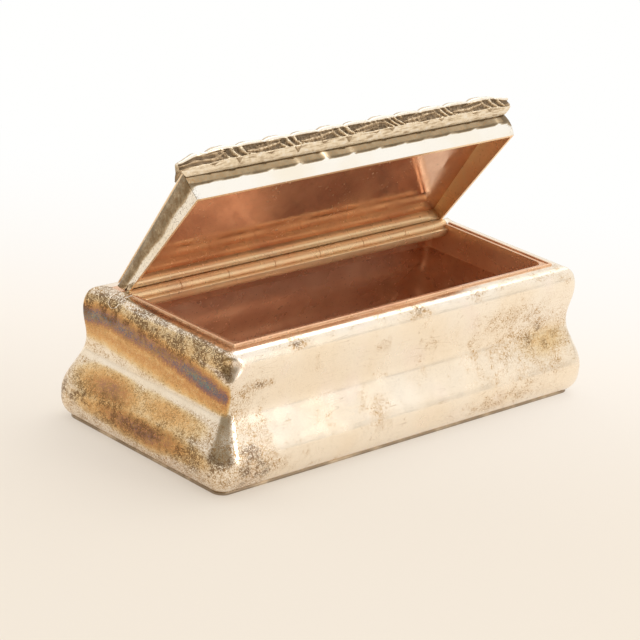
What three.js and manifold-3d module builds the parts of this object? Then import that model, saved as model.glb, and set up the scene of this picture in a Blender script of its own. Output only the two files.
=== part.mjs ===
// Silver snuff box with ogee sides, a gilt bezel and a lid on a seven-knuckle hinge.
// Millimetres. +X runs along the hinge, -Y is the front, +Z is up, the base stands on z = 0.
// Every piece is drawn with the lid shut; the lid's group then turns it open about the hinge.

import * as THREE from 'three';
import { mergeVertices } from 'three/addons/utils/BufferGeometryUtils.js';
import Module from 'manifold-3d';

const wasm = await Module();
wasm.setup();

// Box opening, inside the lip of the gilt bezel
const openingLength = 74.8;
const openingDepth = 29.4;

// Heights above the table
const baseThickness = 0.5;
const bellyHeight = 5.05;
const waistHeight = 14.2;
const shoulderHeight = 19.4;
const topHeight = 23.5;

// How far the side stands out from the opening's edge, from foot to top, and how far the roll
// at the top swells past a straight slope
const footOut = 4.6;
const bellyOut = 6.72;
const waistOut = 3.45;
const shoulderOut = 3.81;
const rimOut = 2.3;
const rollSwell = 0.12;

// How long each curve of the side holds its first and its last direction, as a share of its height
const footLean = 0.12;
const footSpread = 0.5;
const bellyTurn = 0.45;
const bellyHold = 0.34;
const waistHold = 0.34;
const shoulderHold = 0.4;
const rollHold = 0.59;

// Radius of the box's upright corners, from foot to top
const footCorner = 2.0;
const bellyCorner = 4.0;
const waistCorner = 1.45;
const shoulderCorner = 0.35;
const rimCorner = 0.35;
const tightestCorner = 0.2;

// Sheet thicknesses and the fine gap left by a soldered seam
const wallThickness = 0.9;
const baseLip = 0.15;
const seam = 0.06;

// Gilt bezel inside the opening: a strip bent out into a ledge that carries the lid's rim, and
// up into a thin lip that stands proud round it
const bezelThickness = 0.45;
const bezelHeight = 5.4;
const bezelCorner = 1.6;
const ledgeWidth = 0.75;
const ledgeRise = 0.05;
const lipThickness = 0.45;
const lipRise = 0.3;

// Hinge: a tube in seven knuckles on one pin, let into the back of the opening
const hingeInset = 3.45;
const hingeDrop = 0.61;
const tubeRadius = 1.1;
const pinRadius = 0.5;
const pinClearance = 0.2;
const knuckleCount = 7;
const knuckleGap = 0.25;
const tubeClearance = 0.22;
const troughThickness = 0.8;
const plugEndInset = 0.5;
const plugDome = 0.35;

// Lid: a shallow tray with convex walls, thinner at the hinge than at the front
const lidClearance = 0.17;
const lidSeat = 0.05;
const lidFrontHeight = 5.25;
const lidRearHeight = 2.85;
const lidPlateThickness = 0.5;
const lidWallThickness = 0.5;
const lidEdgeRadius = 0.25;
const lidBulge = 0.36;
const lidFrontLean = 0.45;
const lidEndLean = 0.1;
const lidRearOverhang = 0.53;
const lidRearInset = 0.8;
const lidHeelRadius = 1.9;
const lidOpenAngle = 54.25;

// Cast scroll border, fixed over the lid's front edge, which the thumb lifts
const borderDrop = 0.9;
const borderReach = 3.3;
const borderLap = 2.2;
const borderThickness = 2.15;
const borderHeel = 0.6;
const borderLobes = 11;
const borderLobeDepth = 0.4;
const borderTipStart = 0.86;
const borderTipFlare = 1.4;
const borderTipFall = 0.5;
const borderTipThinning = 0.5;
const borderSteps = 110;

// Section of the border, as shares of its reach forward and of its thickness
const borderFaceBulge = 1.1;
const borderFaceMiddle = 0.55;
const borderBrow = 1.02;
const borderRidge = 0.7;
const borderRidgeHeight = 1.08;
const borderHollow = 0.3;
const borderHollowHeight = 0.72;

// Roundness of the curved faces
const profileDivisions = 5;
const cornerSteps = 4;
const tubeSides = 28;
const pinSides = 16;
const mergeTolerance = 1e-4;

// Places worked out from the sizes above
const halfLength = openingLength / 2;
const halfDepth = openingDepth / 2;
const hingeY = halfDepth - hingeInset;
const hingeZ = topHeight - hingeDrop;
const troughRadius = tubeRadius + tubeClearance;
const lidOuterX = halfLength - lidClearance;
const lidInnerX = lidOuterX - lidWallThickness;
const lidOuterY = -(halfDepth - lidClearance);
const lidRearY = hingeY + lidRearOverhang;
const ledgeTop = topHeight + ledgeRise;
const lidRim = ledgeTop + lidSeat;
const lidTaper = Math.atan2(lidFrontHeight - lidRearHeight, lidRearY - lidOuterY);
const farAway = 2 * (openingLength + openingDepth + topHeight);

// Finishes seen in the photograph
const silver = { color: 0xd9c8aa, roughness: 0.28, metalness: 1.0 };
const tarnished = { color: 0x9a8468, roughness: 0.42, metalness: 1.0 };
const gilt = { color: 0xc07a4a, roughness: 0.32, metalness: 1.0 };
const steel = { color: 0x8f8a80, roughness: 0.4, metalness: 1.0 };

// A closed three.js geometry as a solid for boolean work
function toSolid(geometry) {
  const bare = geometry.clone();
  bare.deleteAttribute('normal');
  bare.deleteAttribute('uv');
  const merged = mergeVertices(bare, mergeTolerance);
  const mesh = new wasm.Mesh({
    numProp: 3,
    vertProperties: new Float32Array(merged.attributes.position.array),
    triVerts: new Uint32Array(merged.index.array),
  });
  return new wasm.Manifold(mesh);
}

// A solid back as a three.js geometry
function toGeometry(solid) {
  const mesh = solid.getMesh();
  const geometry = new THREE.BufferGeometry();
  geometry.setAttribute('position', new THREE.BufferAttribute(mesh.vertProperties, 3));
  geometry.setIndex(new THREE.BufferAttribute(mesh.triVerts, 1));
  geometry.computeVertexNormals();
  return geometry;
}

// A section drawn in Y and Z, extruded along X and centred on x = middle
function alongX(section, length, middle = 0) {
  const geometry = new THREE.ExtrudeGeometry(section, { depth: length, bevelEnabled: false });
  geometry.translate(0, 0, -length / 2);
  const axes = new THREE.Matrix4().makeBasis(
    new THREE.Vector3(0, 1, 0),
    new THREE.Vector3(0, 0, 1),
    new THREE.Vector3(1, 0, 0),
  );
  geometry.applyMatrix4(axes);
  geometry.translate(middle, 0, 0);
  return geometry;
}

// A plan outline drawn in X and Y, extruded upwards from one height to another
function upwards(outline, bottom, top) {
  const geometry = new THREE.ExtrudeGeometry(outline, { depth: top - bottom, bevelEnabled: false });
  geometry.translate(0, 0, bottom);
  return geometry;
}

// A rectangle about the origin with rounded corners
function roundedRectangle(x, y, radius) {
  const quarter = Math.PI / 2;
  const outline = new THREE.Shape();
  outline.absarc(x - radius, -y + radius, radius, -quarter, 0);
  outline.absarc(x - radius, y - radius, radius, 0, quarter);
  outline.absarc(-x + radius, y - radius, radius, quarter, 2 * quarter);
  outline.absarc(-x + radius, -y + radius, radius, 2 * quarter, 3 * quarter);
  return outline;
}

// A rod along the hinge axis, between two places along X
function hingeRod(radius, from, to, sides = tubeSides) {
  const rod = new THREE.CylinderGeometry(radius, radius, to - from, sides);
  rod.rotateZ(Math.PI / 2);
  rod.translate((from + to) / 2, hingeY, hingeZ);
  return rod;
}

// Room that every other piece leaves round the hinge tube
function tubeRoom() {
  return toSolid(hingeRod(troughRadius, -farAway, farAway));
}

// A plain block between two corners
function block(low, high) {
  const size = new THREE.Vector3().subVectors(high, low);
  const middle = new THREE.Vector3().addVectors(low, high).multiplyScalar(0.5);
  const box = new THREE.BoxGeometry(size.x, size.y, size.z);
  box.translate(middle.x, middle.y, middle.z);
  return box;
}

// Outer face of a side, as distance out from the opening against height
function outerProfile() {
  const path = new THREE.Path();
  const foot = bellyHeight - baseThickness;
  path.moveTo(footOut, baseThickness);
  path.bezierCurveTo(
    footOut + (bellyOut - footOut) * footSpread, baseThickness + foot * footLean,
    bellyOut, bellyHeight - foot * bellyTurn,
    bellyOut, bellyHeight,
  );
  const rise = waistHeight - bellyHeight;
  path.bezierCurveTo(
    bellyOut, bellyHeight + rise * bellyHold,
    waistOut, waistHeight - rise * waistHold,
    waistOut, waistHeight,
  );
  const swell = shoulderHeight - waistHeight;
  path.bezierCurveTo(
    waistOut, waistHeight + swell * shoulderHold,
    shoulderOut, shoulderHeight - swell * shoulderHold,
    shoulderOut, shoulderHeight,
  );
  const roll = topHeight - shoulderHeight;
  path.bezierCurveTo(
    shoulderOut, shoulderHeight + roll * rollHold,
    (shoulderOut + rimOut) / 2 + rollSwell, topHeight,
    rimOut, topHeight,
  );
  path.lineTo(lipThickness + seam, topHeight);
  return path.getPoints(profileDivisions);
}

// The same face set back by the sheet's thickness, from top to foot
function innerProfile(outer) {
  const points = outer.map((point, i) => {
    const before = outer[Math.max(i - 1, 0)];
    const after = outer[Math.min(i + 1, outer.length - 1)];
    const along = new THREE.Vector2().subVectors(after, before).normalize();
    return new THREE.Vector2(point.x - along.y * wallThickness, point.y + along.x * wallThickness);
  });
  points[0].set(points[0].x, baseThickness);
  points[points.length - 1].set(lipThickness + seam, topHeight - wallThickness);
  return points.reverse();
}

// How far out the side stands at a height
function outAt(profile, height) {
  for (let i = 1; i < profile.length; i += 1) {
    const low = profile[i - 1];
    const high = profile[i];
    if (height <= high.y && high.y > low.y) {
      const share = (height - low.y) / (high.y - low.y);
      return THREE.MathUtils.lerp(low.x, high.x, THREE.MathUtils.clamp(share, 0, 1));
    }
  }
  return rimOut;
}

// Radius of the box's upright corner at a height
function cornerAt(height) {
  const stops = [
    [baseThickness, footCorner],
    [bellyHeight, bellyCorner],
    [waistHeight, waistCorner],
    [shoulderHeight, shoulderCorner],
    [topHeight, rimCorner],
  ];
  for (let i = 1; i < stops.length; i += 1) {
    const [low, lowRadius] = stops[i - 1];
    const [high, highRadius] = stops[i];
    if (height <= high) {
      return THREE.MathUtils.lerp(lowRadius, highRadius, THREE.MathUtils.smoothstep(height, low, high));
    }
  }
  return rimCorner;
}

// One side of a mitred frame. The section is drawn as (distance out, height). It runs along the
// front, and half of each rounded corner belongs to it, up to the mitre at 45 degrees.
function mitredSide(section, halfAlong, halfAcross, radiusAt) {
  const steps = 2 * cornerSteps + 1;
  const geometry = new THREE.ExtrudeGeometry(section, { depth: 1, steps, bevelEnabled: false });
  const position = geometry.attributes.position;
  for (let i = 0; i < position.count; i += 1) {
    const out = position.getX(i);
    const height = position.getY(i);
    const step = Math.round(position.getZ(i) * steps);
    const left = step <= cornerSteps;
    const turn = left ? 1 - step / cornerSteps : (step - cornerSteps - 1) / cornerSteps;
    const angle = turn * Math.PI / 4;
    const radius = Math.max(radiusAt(out, height), tightestCorner);
    const endGap = turn === 1 ? seam : 0;
    const along = halfAlong + out - radius + radius * Math.sin(angle) - endGap;
    const across = halfAcross + out - radius + radius * Math.cos(angle);
    position.setXYZ(i, left ? along : -along, -across, height);
  }
  return geometry;
}

// The four sides of the box, or of the bezel, each turned to its place
function fourSides(section, radiusAt) {
  const long = mitredSide(section, halfLength, halfDepth, radiusAt);
  const short = mitredSide(section, halfDepth, halfLength, radiusAt);
  return {
    front: long.clone(),
    right: short.clone().rotateZ(Math.PI / 2),
    back: long.clone().rotateZ(Math.PI),
    left: short.clone().rotateZ(-Math.PI / 2),
  };
}

// Ogee sides of the box
function bodyWalls() {
  const outer = outerProfile();
  const section = new THREE.Shape([...outer, ...innerProfile(outer)]);
  const radiusAt = (out, height) => cornerAt(height) - (outAt(outer, height) - out);
  return fourSides(section, radiusAt);
}

// Gilt strips that line the opening, with their ledge and lip
function bezelStrips() {
  const foot = topHeight - bezelHeight;
  const section = new THREE.Shape();
  section.moveTo(-ledgeWidth, foot);
  section.lineTo(bezelThickness - ledgeWidth, foot);
  section.lineTo(bezelThickness - ledgeWidth, ledgeTop - bezelThickness);
  section.lineTo(lipThickness, ledgeTop - bezelThickness);
  section.lineTo(lipThickness, topHeight + lipRise);
  section.lineTo(0, topHeight + lipRise);
  section.lineTo(0, ledgeTop);
  section.lineTo(-ledgeWidth, ledgeTop);
  const radiusAt = (out) => THREE.MathUtils.lerp(tightestCorner, bezelCorner, -out / ledgeWidth);
  return fourSides(section, radiusAt);
}

// Slot in each end of the box for the hinge tube, open at the top
function hingeSlot() {
  const low = new THREE.Vector3(-farAway, hingeY - troughRadius, hingeZ);
  const high = new THREE.Vector3(farAway, hingeY + troughRadius, farAway);
  return tubeRoom().add(toSolid(block(low, high)));
}

// The bezel stands proud only in front of the hinge, where it locates the lid
function lipEnd() {
  const low = new THREE.Vector3(-farAway, hingeY - troughRadius, topHeight);
  const high = new THREE.Vector3(farAway, farAway, farAway);
  return toSolid(block(low, high));
}

// Flat base that the sides are soldered to, with its edge just proud of them
function basePlate() {
  const reach = footOut + baseLip;
  const outline = roundedRectangle(halfLength + reach, halfDepth + reach, footCorner);
  return upwards(outline, 0, baseThickness);
}

// Trough under the tube with a flat strip behind it, fixed inside the back of the box
function hingeBearer() {
  const outerRadius = troughRadius + troughThickness;
  const strip = new THREE.Shape();
  strip.moveTo(hingeY, topHeight);
  strip.lineTo(hingeY, hingeZ - outerRadius);
  strip.lineTo(halfDepth, hingeZ - outerRadius / 2);
  strip.lineTo(halfDepth, topHeight);
  const inside = ledgeWidth + seam;
  const opening = roundedRectangle(halfLength - inside, halfDepth - inside, bezelCorner);
  const frontLow = new THREE.Vector3(-farAway, -farAway, hingeZ);
  const frontHigh = new THREE.Vector3(farAway, hingeY, farAway);
  const bar = toSolid(hingeRod(outerRadius, -halfLength, halfLength))
    .add(toSolid(alongX(strip, openingLength)))
    .subtract(tubeRoom())
    .subtract(toSolid(block(frontLow, frontHigh)))
    .intersect(toSolid(upwards(opening, 0, topHeight)));
  return toGeometry(bar);
}

// One knuckle of the hinge tube, bored for the pin
function knuckle(index) {
  const pitch = openingLength / knuckleCount;
  const from = -halfLength + index * pitch + knuckleGap / 2;
  const to = from + pitch - knuckleGap;
  const bore = hingeRod(pinRadius + pinClearance, -farAway, farAway);
  return toGeometry(toSolid(hingeRod(tubeRadius, from, to)).subtract(toSolid(bore)));
}

// Domed plug that closes one end of the hinge; side is +1 for the right and -1 for the left
function hingePlug(side) {
  const reach = halfLength + outAt(outerProfile(), hingeZ) - plugEndInset;
  const start = halfLength;
  const profile = new THREE.Path();
  profile.moveTo(0, start);
  profile.lineTo(tubeRadius, start);
  profile.lineTo(tubeRadius, reach - plugDome);
  profile.quadraticCurveTo(tubeRadius, reach, 0, reach);
  const plug = new THREE.LatheGeometry(profile.getPoints(profileDivisions), tubeSides);
  plug.rotateZ(-side * Math.PI / 2);
  plug.translate(0, hingeY, hingeZ);
  return toGeometry(toSolid(plug));
}

// Height of the lid's top over its rim at a place from front to back
function lidHeight(y) {
  return lidFrontHeight - (y - lidOuterY) * Math.tan(lidTaper);
}

// How far the lid's convex front stands out from its rim, at a share of its height
function lidFrontOut(share) {
  return lidFrontLean * share + 4 * lidBulge * share * (1 - share);
}

// The lid's outline seen from the end: a flat rim, and a rounded heel behind the hinge
function lidEnvelope() {
  const outline = new THREE.Shape();
  const heel = lidHeelRadius;
  outline.moveTo(-farAway, lidRim);
  outline.lineTo(lidRearY - heel, lidRim);
  outline.absarc(lidRearY - heel, lidRim + heel, heel, -Math.PI / 2, 0);
  outline.lineTo(lidRearY, farAway);
  outline.lineTo(-farAway, farAway);
  return toSolid(alongX(outline, farAway));
}

// Trims a piece of the lid to the rounded heel and to the room that the hinge tube needs
function trimmed(solid) {
  return toGeometry(solid.intersect(lidEnvelope()).subtract(tubeRoom()));
}

// Moves something drawn level, with its top at z = 0 and its front at y = 0, onto the lid's top
function onLidTop(geometry) {
  geometry.rotateX(-lidTaper);
  geometry.translate(0, lidOuterY, lidRim + lidFrontHeight);
  return geometry;
}

// Lid plate with a softened upper edge
function lidPlate() {
  const length = lidOuterX + lidEndLean - lidEdgeRadius;
  const front = lidEdgeRadius - lidFrontLean;
  const outline = new THREE.Shape();
  outline.moveTo(-length, front);
  outline.lineTo(length, front);
  outline.lineTo(length, farAway);
  outline.lineTo(-length, farAway);
  const slab = new THREE.ExtrudeGeometry(outline, {
    depth: lidPlateThickness,
    bevelThickness: lidEdgeRadius,
    bevelSize: lidEdgeRadius,
    bevelSegments: cornerSteps,
  });
  slab.translate(0, 0, -lidPlateThickness - lidEdgeRadius);
  const low = new THREE.Vector3(-farAway, -farAway, -farAway);
  const high = new THREE.Vector3(farAway, farAway, -lidPlateThickness);
  const below = toSolid(onLidTop(block(low, high)));
  return trimmed(toSolid(onLidTop(slab)).subtract(below));
}

// Convex section of the lid's wall: distance out, against a share of the height under the plate
function lidWallSection() {
  const section = new THREE.Shape();
  const bow = 2 * lidBulge;
  section.moveTo(0, 0);
  section.quadraticCurveTo(bow, 1 / 2, 0, 1);
  section.lineTo(-lidWallThickness, 1);
  section.quadraticCurveTo(bow - lidWallThickness, 1 / 2, -lidWallThickness, 0);
  return section;
}

// A wall swept between two ends, 0 and 1. placed(out, share, end) gives its X and Y.
function lidWall(placed) {
  const options = { depth: 1, steps: 1, curveSegments: profileDivisions, bevelEnabled: false };
  const geometry = new THREE.ExtrudeGeometry(lidWallSection(), options);
  const position = geometry.attributes.position;
  const underside = lidPlateThickness / Math.cos(lidTaper) + seam;
  for (let i = 0; i < position.count; i += 1) {
    const out = position.getX(i);
    const share = position.getY(i);
    const [x, y] = placed(out, share, Math.round(position.getZ(i)));
    position.setXYZ(i, x, y, lidRim + share * (lidHeight(y) - underside));
  }
  return geometry;
}

// Lid front wall, mitred at both ends
function lidFrontWall() {
  const placed = (out, share, end) => [
    (1 - 2 * end) * (lidOuterX + out + share * lidEndLean - seam),
    lidOuterY - out - share * lidFrontLean,
  ];
  return trimmed(toSolid(lidWall(placed)));
}

// Lid end wall, mitred at the front; side is +1 for the right and -1 for the left
function lidEndWall(side) {
  const backwards = side > 0 ? 1 : 0;
  const placed = (out, share, end) => [
    side * (lidOuterX + out + share * lidEndLean),
    end === backwards ? lidOuterY - out - share * lidFrontLean : lidRearY,
  ];
  return trimmed(toSolid(lidWall(placed)));
}

// Lid rear wall, hollowed below for the hinge tube
function lidRearWall() {
  const low = new THREE.Vector3(-lidInnerX + seam, hingeY - lidRearInset, lidRim);
  const high = new THREE.Vector3(lidInnerX - seam, lidRearY, lidRim + lidHeight(lidRearY));
  const under = new THREE.Shape();
  const deep = lidPlateThickness / Math.cos(lidTaper) + seam;
  under.moveTo(low.y, lidRim);
  under.lineTo(high.y, lidRim);
  under.lineTo(high.y, lidRim + lidHeight(high.y) - deep);
  under.lineTo(low.y, lidRim + lidHeight(low.y) - deep);
  return trimmed(toSolid(alongX(under, high.x - low.x)));
}

// How much of the border's end a place along it is in, from 0 to 1
function borderTip(place) {
  return THREE.MathUtils.smoothstep(Math.abs(place), borderTipStart, 1);
}

// How far the cast border reaches forward at a place along the lid, from -1 to +1
function borderEdge(place) {
  const lobe = (place + 1) * borderLobes / 2;
  const within = lobe - Math.floor(lobe);
  const leaf = Math.sin(Math.PI * Math.sqrt(within));
  return borderReach - borderLobeDepth * (1 - leaf) - borderTipFall * borderTip(place);
}

// Section of the border: it hangs in front of the lid's wall and laps back over the lid's top.
// Drawn as distance forward from the rim's line, and height over the border's underside.
function borderSection(start) {
  const thick = borderThickness;
  const stretch = borderReach - start;
  const top = borderDrop + seam;
  const slope = Math.tan(lidTaper);
  const section = new THREE.Shape();
  section.moveTo(start, 0);
  section.lineTo(borderReach, 0);
  section.quadraticCurveTo(
    start + stretch * borderFaceBulge, thick * borderFaceMiddle,
    start + stretch * borderBrow, thick,
  );
  section.quadraticCurveTo(
    start + stretch * borderRidge, thick * borderRidgeHeight,
    start + stretch * borderHollow, thick * borderHollowHeight,
  );
  section.quadraticCurveTo(0, top + borderHeel, -borderLap, top - borderLap * slope + borderHeel);
  section.lineTo(-borderLap, top - borderLap * slope);
  section.lineTo(start, top + start * slope);
  return section;
}

// Cast scroll border: its section swept along the lid's front edge, with leaf-shaped lobes
function thumbBorder() {
  const foot = lidFrontHeight - borderDrop;
  const start = lidFrontOut(foot / (lidFrontHeight - lidPlateThickness)) + seam;
  const geometry = new THREE.ExtrudeGeometry(borderSection(start), {
    depth: 1,
    steps: borderSteps,
    curveSegments: profileDivisions,
    bevelEnabled: false,
  });
  const position = geometry.attributes.position;
  for (let i = 0; i < position.count; i += 1) {
    const place = 1 - 2 * position.getZ(i);
    const outward = Math.max(position.getX(i) - start, 0) / (borderReach - start);
    const reach = outward * (borderEdge(place) - start);
    const forward = Math.min(position.getX(i), start) + reach;
    const flare = borderTipFlare * Math.min(outward, 1) * Math.sign(place) * place ** 4;
    const thinned = 1 - borderTipThinning * borderTip(place) * Math.min(outward, 1);
    position.setXYZ(i, place * lidOuterX + flare, -forward, position.getY(i) * thinned);
  }
  geometry.translate(0, lidOuterY, lidRim + foot);
  return geometry;
}

// A named mesh with its own material
function piece(name, geometry, finish) {
  const mesh = new THREE.Mesh(geometry, new THREE.MeshStandardMaterial(finish));
  mesh.name = name;
  return mesh;
}

// Everything that stays with the box
function buildBox() {
  const box = new THREE.Group();
  const slot = hingeSlot();
  const low = lipEnd();
  const slotted = (geometry) => toGeometry(toSolid(geometry).subtract(slot));
  const lowered = (geometry) => toGeometry(toSolid(geometry).subtract(low));
  const walls = bodyWalls();
  const strips = bezelStrips();
  box.add(piece('base_plate', basePlate(), silver));
  box.add(piece('body_front_wall', walls.front, silver));
  box.add(piece('body_back_wall', walls.back, silver));
  box.add(piece('body_left_wall', slotted(walls.left), tarnished));
  box.add(piece('body_right_wall', slotted(walls.right), silver));
  box.add(piece('bezel_front', strips.front, gilt));
  box.add(piece('bezel_back', lowered(strips.back), gilt));
  box.add(piece('bezel_left', slotted(lowered(strips.left)), gilt));
  box.add(piece('bezel_right', slotted(lowered(strips.right)), gilt));
  box.add(piece('hinge_bearer', hingeBearer(), gilt));
  box.add(piece('hinge_pin', hingeRod(pinRadius, -halfLength, halfLength, pinSides), steel));
  box.add(piece('hinge_plug_left', hingePlug(-1), silver));
  box.add(piece('hinge_plug_right', hingePlug(1), silver));
  for (let i = 0; i < knuckleCount; i += 2) {
    box.add(piece(`hinge_knuckle_${i + 1}`, knuckle(i), gilt));
  }
  return box;
}

// Everything that turns with the lid
function buildLid() {
  const shut = new THREE.Group();
  shut.add(piece('lid_plate', lidPlate(), gilt));
  shut.add(piece('lid_front_wall', lidFrontWall(), silver));
  shut.add(piece('lid_left_wall', lidEndWall(-1), silver));
  shut.add(piece('lid_right_wall', lidEndWall(1), silver));
  shut.add(piece('lid_rear_wall', lidRearWall(), gilt));
  shut.add(piece('thumb_border', thumbBorder(), tarnished));
  for (let i = 1; i < knuckleCount; i += 2) {
    shut.add(piece(`hinge_knuckle_${i + 1}`, knuckle(i), gilt));
  }
  shut.position.set(0, -hingeY, -hingeZ);
  const lid = new THREE.Group();
  lid.add(shut);
  lid.rotation.x = -THREE.MathUtils.degToRad(lidOpenAngle);
  lid.position.set(0, hingeY, hingeZ);
  return lid;
}

const snuffBox = new THREE.Group();
snuffBox.add(buildBox());
snuffBox.add(buildLid());

export default snuffBox;
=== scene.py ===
# Silver snuff box, gilt inside, with its lid standing open on a seven-knuckle hinge.
# Sizes are in millimetres and are turned into metres where a mesh is made. +X runs along the
# hinge, -Y is the front, +Z is up. The lid's pieces are drawn shut and then turned open.
import math

import bmesh
import bpy
from mathutils import Matrix, Vector, noise


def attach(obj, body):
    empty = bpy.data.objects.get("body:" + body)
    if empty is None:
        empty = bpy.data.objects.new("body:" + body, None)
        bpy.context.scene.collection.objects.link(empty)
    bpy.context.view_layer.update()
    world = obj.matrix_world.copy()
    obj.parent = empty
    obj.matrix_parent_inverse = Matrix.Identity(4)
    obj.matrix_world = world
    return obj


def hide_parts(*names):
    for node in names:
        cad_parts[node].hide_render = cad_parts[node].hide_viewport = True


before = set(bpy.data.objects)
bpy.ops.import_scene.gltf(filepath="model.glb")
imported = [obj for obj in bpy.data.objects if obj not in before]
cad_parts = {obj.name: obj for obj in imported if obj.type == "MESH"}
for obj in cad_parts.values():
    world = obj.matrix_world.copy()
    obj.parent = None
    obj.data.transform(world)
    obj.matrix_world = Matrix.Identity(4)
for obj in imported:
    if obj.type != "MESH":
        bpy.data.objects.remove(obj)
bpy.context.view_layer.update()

MM = 0.001
QUARTER = math.pi / 2
FAR = 60.0

# Opening inside the lip, and the heights of the side's curves
HALF_X = 37.4
HALF_Y = 14.7
BASE_TOP = 0.5
BELLY = 5.05
WAIST = 14.2
SHOULDER = 19.4
BEAD = 21.2
TOP = 23.5

# How far the side stands out from the opening at those heights
FOOT_OUT = 4.6
BELLY_OUT = 6.72
WAIST_OUT = 3.45
SHOULDER_OUT = 3.81
RIM_OUT = 2.3
ROLL_SWELL = 0.12
ROLL_END = 0.9

# Radius of the upright corners by height. The front's left corner is wider at the bead
CORNERS = [(BASE_TOP, 2.0), (BELLY, 4.0), (WAIST, 1.45), (BEAD, 0.5), (TOP, 0.35)]
BEAD_SWELL = 2.5
BEAD_REACH = 1.8
TIGHTEST = 0.18

# Sheet of the sides, how uneven it is, and the faint lines that its bends leave
WALL = 0.9
DENT = 0.03
CREASES = (20.6, 12.4, 6.8)
CREASE_DEPTH = 0.03
CREASE_REACH = 0.42

# Base plate
BASE_LIP = 0.15
BASE_EDGE = 0.12
BASE_CORNER = 2.0
BASE_INSET = 9.0

# Bezel: ledge for the lid's rim, with a thin lip round it
LEDGE = 0.75
LEDGE_TOP = TOP + 0.05
LIP = 0.45
LIP_TOP = TOP + 0.3
LIP_LAP = 0.02
BEZEL_FOOT = TOP - 5.4
BEZEL_SHEET = 0.45
BEZEL_CORNER = 1.6
BEZEL_EDGE = 0.09

# Hinge
HINGE_Y = 11.25
HINGE_Z = 22.89
AXIS = (HINGE_Y, HINGE_Z)
TUBE = 1.1
TUBE_FIT = 0.05
BORE = 0.7
ROOM = 1.32
KNUCKLES = 7
KNUCKLE_GAP = 0.09
KNUCKLE_EDGE = 0.04
TROUGH = 0.8
PLUG_CORE = 0.02

# Lid, shut
OPEN_ANGLE = math.radians(54.25)
LID_PLAY = 0.17
LID_X = HALF_X - LID_PLAY
LID_Y = LID_PLAY - HALF_Y
LID_RIM = LEDGE_TOP + 0.05
LID_REAR = HINGE_Y + 0.53
LID_FRONT_HEIGHT = 5.25
LID_REAR_HEIGHT = 2.85
LID_SLOPE = (LID_FRONT_HEIGHT - LID_REAR_HEIGHT) / (LID_REAR - LID_Y)
LID_SHEET = 0.5
LID_BULGE = 0.36
LID_FRONT_LEAN = 0.45
LID_END_LEAN = 0.1
LID_EDGE = 0.22
LID_CORNER = 0.3
LID_TURN = 0.12
HEEL = 1.9
HEEL_Y = LID_REAR - HEEL
REAR_INSET = 0.8

# Cast border over the lid's front edge. Heights are above its underside at the lid's wall
BORDER_DROP = 1.2
BORDER_FOOT = LID_RIM + LID_FRONT_HEIGHT - BORDER_DROP
BORDER_PERIOD = 12.1
BORDER_SHIFT = 1.4
BORDER_LAP = 2.2
BORDER_UNDER = 1.5
BORDER_RISE = 1.0
BORDER_SLANT = 0.35
BORDER_FACE = 1.75
BORDER_RIM = 0.5
BORDER_CROWN = 0.5
BORDER_GROUND = -0.3
BORDER_TOP = BORDER_DROP + 0.03
BORDER_BACK = BORDER_TOP - BORDER_LAP * LID_SLOPE
BORDER_HEEL = BORDER_BACK + 0.6
RIM_FOOT = BORDER_RISE + BORDER_FACE
RIM_SECTION = [(0.08, 0.05), (0.14, 0.16), (0.14, 0.3), (0.06, 0.43), (-0.1, BORDER_RIM)]

# Points along X, along Y and round a corner
SHELL_STEPS = (150, 70, 12)
BEZEL_STEPS = (60, 30, 10)
BASE_STEPS = (40, 20, 8)
PLATE_STEPS = (20, 20, 4)

# Points along other curves
PROFILE_STEPS = 18
TUBE_SIDES = 64
PLUG_SIDES = 32
LID_RISES = 14
LID_HEEL_STEPS = 12
LID_END_STEPS = 30
LID_TURN_STEPS = 4
LID_FRONT_STEPS = 60
BORDER_STEPS = 1300
UNDER_STEPS = 16
FACE_STEPS = 30
CROWN_STEPS = 24

# Tarnish on the left end: strength, height and reach of its bands
END_BANDS = [(0.8, 21.2, 2.2), (-0.22, 15.4, 1.8), (0.42, 5.6, 3.0), (-0.4, 12.2, 0.7)]

# Marks on the front: strength, centre and reach along X and Z
FRONT_MARKS = [
    (0.8, (-37.5, 4.2), (6.5, 3.6)), (0.4, (-40, 13), (5, 8)),
    (0.8, (-26.4, 22.6), (2.0, 0.8)), (0.7, (0.9, 22.3), (3, 0.8)),
    (0.75, (-34.6, 17.5), (2.8, 0.9)), (0.4, (-7, 18.6), (1.5, 1)),
    (0.4, (-8.5, 7.7), (3, 3)), (0.35, (24, 17.5), (9, 2)),
]
FRONT_GOLD = [
    (0.17, (33, 11.4), (9, 3.6)), (0.09, (19.5, 3.2), (9, 1.6)), (0.07, (-38, 4.2), (5, 3.4)),
]

# Broken marks on the front, each with the range of roughness over which it comes in
FRONT_PATCHES = [
    ((0.62, (31, 11.6), (11.5, 4.0)), (0.0, 0.35)), ((0.5, (19.5, 3.2), (9, 1.5)), (0.1, 0.6)),
]


def clamp(value, low=0.0, high=1.0):
    """A value kept between two limits."""
    return min(max(value, low), high)


def smooth(low, high, value):
    """0 below low, 1 above high, and a smooth step between them."""
    t = clamp((value - low) / (high - low))
    return t * t * (3 - 2 * t)


def hump(value, centre, reach):
    """1 at a centre, falling smoothly to nearly 0 at twice its reach."""
    return math.exp(-((value - centre) / reach) ** 2)


def mark(place, strength, centre, reach):
    """A soft mark on a surface, seen at a place of two coordinates."""
    across, up = (hump(*axis) for axis in zip(place, centre, reach))
    return strength * across * up


def turned_open(point):
    """A point of the shut lid, turned to where the open lid has it."""
    y, z = point[1] - HINGE_Y, point[2] - HINGE_Z
    c, s = math.cos(OPEN_ANGLE), math.sin(OPEN_ANGLE)
    return Vector((point[0], HINGE_Y + y * c + z * s, HINGE_Z - y * s + z * c))


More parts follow.
